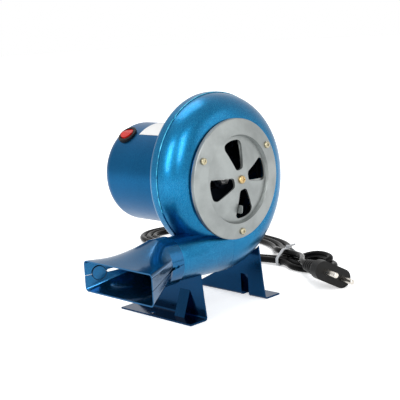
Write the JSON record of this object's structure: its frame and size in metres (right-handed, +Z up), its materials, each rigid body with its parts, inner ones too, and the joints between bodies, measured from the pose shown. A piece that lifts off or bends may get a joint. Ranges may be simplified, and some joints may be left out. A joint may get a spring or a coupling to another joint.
{
  "type": "electric forge blower",
  "caption": "Small electric centrifugal blower with a snail casing, rotary inlet damper, flat outlet nozzle, closed motor can with rocker switch, sheet feet and tied mains cord.",
  "frame": {"origin": "on the floor, midway between the two foot holes", "axes": "+X to the right seen from the inlet, away from the outlet; +Y along the fan axis from the inlet to the motor; +Z up"},
  "size_m": [0.3441, 0.3506, 0.1878],
  "materials": {
    "casing_blue": "metallic gloss",
    "can_blue": "gloss",
    "foot_blue": "gloss",
    "silver_paint": "satin",
    "steel": "satin",
    "brass": "satin",
    "aluminium": "satin",
    "lamination": "satin",
    "copper_winding": "gloss",
    "black_plastic": "satin",
    "red_plastic": "gloss",
    "white_label": "satin",
    "grey_plastic": "matte",
    "cord_black": "gloss",
    "plug_black": "satin",
    "nickel": "polished"
  },
  "bodies": {
    "base": {"back_shell": "casing_blue", "bearing_wave_washer": "steel", "can_screws": "steel", "capacitor": "grey_plastic", "capacitor_strap": "steel", "cord_gland": "black_plastic", "cord_hank": "cord_black", "cord_tie": "grey_plastic", "cover_screws": "brass", "damper_nut": "steel", "damper_screw": "brass", "damper_spring_washer": "steel", "front_bearing": "steel", "front_bracket": "aluminium", "front_shell": "casing_blue", "inlet_cover": "silver_paint", "label_plate": "white_label", "left_leg": "foot_blue", "motor_bolts": "steel", "motor_can": "can_blue", "motor_nuts": "steel", "nozzle_joint_discs": "casing_blue", "nozzle_lower": "casing_blue", "nozzle_upper": "casing_blue", "plug_body": "plug_black", "plug_lead": "cord_black", "plug_pins": "nickel", "plug_relief": "plug_black", "power_cord": "cord_black", "rear_bearing": "steel", "rear_bracket": "aluminium", "right_leg": "foot_blue", "stator_core": "lamination", "stator_windings": "copper_winding", "switch_housing": "black_plastic", "switch_terminals": "brass"},
    "rotor": {"motor_shaft": "steel", "rotor_core": "lamination", "rotor_end_rings": "aluminium", "impeller_backplate": "aluminium", "impeller_blades": "aluminium", "impeller_front_ring": "aluminium", "impeller_hub": "aluminium", "impeller_nut": "steel"},
    "damper": {"damper_plate": "silver_paint"},
    "rocker": {"switch_rocker": "red_plastic"}
  },
  "joints": [
    {"name": "rotor_spin", "type": "hinge", "parent": "base", "child": "rotor", "pos_m": [0, 0, 0.115], "axis": [0, 1, 0], "continuous": true},
    {"name": "damper_turn", "type": "hinge", "parent": "base", "child": "damper", "pos_m": [0, 0, 0.115], "axis": [0, -1, 0], "range_deg": [0, 34]},
    {"name": "switch_rock", "type": "hinge", "parent": "base", "child": "rocker", "pos_m": [-0.02604, 0.046, 0.15084], "axis": [0, -1, 0], "range_deg": [0, 16]}
  ]
}
